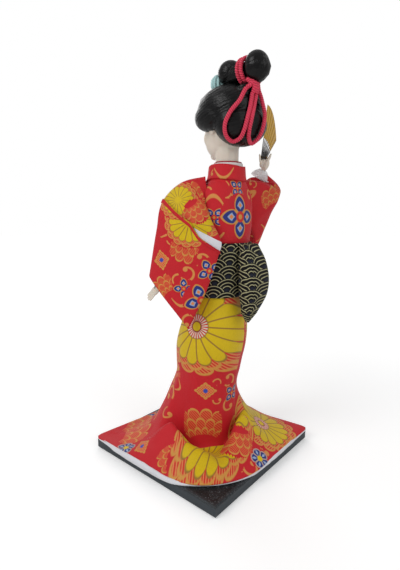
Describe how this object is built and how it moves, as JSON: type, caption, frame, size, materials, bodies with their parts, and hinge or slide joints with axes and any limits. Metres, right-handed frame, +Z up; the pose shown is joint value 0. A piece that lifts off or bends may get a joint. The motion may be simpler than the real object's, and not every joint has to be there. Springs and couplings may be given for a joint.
{
  "type": "geisha doll",
  "caption": "Standing costumed doll on a square black base: trailing red brocade kimono, black and gold sash, dressed black hair with a red cord, and a raised folding fan that opens.",
  "frame": {"origin": "centre of the underside of the square base", "axes": "+Z up, -Y the way the doll faces, +X towards the doll's left hand"},
  "size_m": [0.1408, 0.1224, 0.2852],
  "materials": {
    "black_lacquer": "black lacquer with fine gold flecks on top",
    "pin_steel": "plain drawn wire",
    "packed_paper": "tightly packed paper and wood wool",
    "bare_wood": "bare wood",
    "red_brocade": "woven red brocade with gold, yellow and blue flowers and scrolls",
    "white_lining": "plain white weave",
    "black_gold_obi": "black brocade with scale-shaped arcs of dull gold thread",
    "dark_red_piping": "plain weave",
    "white_silk": "white silk with a pink tinge",
    "sheer_white": "sheer white chiffon",
    "white_wadding": "cotton wadding wound on",
    "ivory_skin": "satin ivory paint",
    "black_hair": "glossy black silk thread, combed",
    "pale_blue_silk": "crinkled pale blue and white silk",
    "red_cord": "ribbed silk cord",
    "black_stick": "black lacquer",
    "gold_leaf": "pleated gold foil paper",
    "rivet_brass": "plain"
  },
  "bodies": {
    "figure": {"base_plate": "black_lacquer", "foot_pin_left": "pin_steel", "foot_pin_right": "pin_steel", "leg_core": "packed_paper", "torso_core": "packed_paper", "waist_dowel": "bare_wood", "skirt": "red_brocade", "bodice": "red_brocade", "outer_collar": "red_brocade", "left_sleeve": "red_brocade", "right_sleeve": "red_brocade", "train_lining": "white_lining", "left_sleeve_lining": "white_lining", "right_sleeve_lining": "white_lining", "obi_belt": "black_gold_obi", "obi_knot": "black_gold_obi", "obi_tail": "black_gold_obi", "piping_collar": "dark_red_piping", "white_collar": "white_silk", "left_cuff": "sheer_white", "right_cuff": "sheer_white", "left_arm_wire": "pin_steel", "right_arm_wire": "pin_steel", "left_arm_padding": "white_wadding", "right_arm_padding": "white_wadding", "left_hand": "ivory_skin", "right_hand": "ivory_skin", "fan_rivet": "rivet_brass", "fan_stick_1": "black_stick", "fan_leaf_1": "gold_leaf"},
    "head": {"head": "ivory_skin", "neck_peg": "bare_wood", "hair_cap": "black_hair", "hair_nape_roll": "black_hair", "hair_left_lobe": "black_hair", "hair_right_lobe": "black_hair", "hair_front_roll": "black_hair", "front_bun": "black_hair", "top_bun": "black_hair", "hair_ornament": "pale_blue_silk", "cord_wrap": "red_cord", "cord_knot": "red_cord", "cord_loop_left": "red_cord", "cord_loop_right": "red_cord"},
    "fan_2": {"fan_stick_2": "black_stick", "fan_leaf_2": "gold_leaf"},
    "fan_3": {"fan_stick_3": "black_stick", "fan_leaf_3": "gold_leaf"},
    "fan_4": {"fan_stick_4": "black_stick", "fan_leaf_4": "gold_leaf"},
    "fan_5": {"fan_stick_5": "black_stick", "fan_leaf_5": "gold_leaf"},
    "fan_6": {"fan_stick_6": "black_stick", "fan_leaf_6": "gold_leaf"},
    "fan_7": {"fan_stick_7": "black_stick", "fan_leaf_7": "gold_leaf"}
  },
  "joints": [
    {"name": "head_turn", "type": "hinge", "parent": "figure", "child": "head", "pos_m": [-0.0028, 0.0192, 0.2078], "axis": [0, 0, 1], "range_deg": [-25, 25]},
    {"name": "fan_open", "type": "hinge", "parent": "figure", "child": "fan_2", "pos_m": [-0.045, 0.0227, 0.2273], "axis": [0.3718, -0.9203, 0.1219], "range_deg": [-9.7, 2]},
    {"name": "fan_open_3", "type": "hinge", "parent": "fan_2", "child": "fan_3", "pos_m": [-0.045, 0.0227, 0.2273], "axis": [0.3718, -0.9203, 0.1219], "range_deg": [-9.7, 2]},
    {"name": "fan_open_4", "type": "hinge", "parent": "fan_3", "child": "fan_4", "pos_m": [-0.045, 0.0227, 0.2273], "axis": [0.3718, -0.9203, 0.1219], "range_deg": [-9.7, 2]},
    {"name": "fan_open_5", "type": "hinge", "parent": "fan_4", "child": "fan_5", "pos_m": [-0.045, 0.0227, 0.2273], "axis": [0.3718, -0.9203, 0.1219], "range_deg": [-9.7, 2]},
    {"name": "fan_open_6", "type": "hinge", "parent": "fan_5", "child": "fan_6", "pos_m": [-0.045, 0.0227, 0.2273], "axis": [0.3718, -0.9203, 0.1219], "range_deg": [-9.7, 2]},
    {"name": "fan_open_7", "type": "hinge", "parent": "fan_6", "child": "fan_7", "pos_m": [-0.045, 0.0227, 0.2273], "axis": [0.3718, -0.9203, 0.1219], "range_deg": [-9.7, 2]}
  ],
  "couplings": [
    {"joint": "fan_open_3", "follows": "fan_open", "ratio": 1},
    {"joint": "fan_open_4", "follows": "fan_open", "ratio": 1},
    {"joint": "fan_open_5", "follows": "fan_open", "ratio": 1},
    {"joint": "fan_open_6", "follows": "fan_open", "ratio": 1},
    {"joint": "fan_open_7", "follows": "fan_open", "ratio": 1}
  ]
}
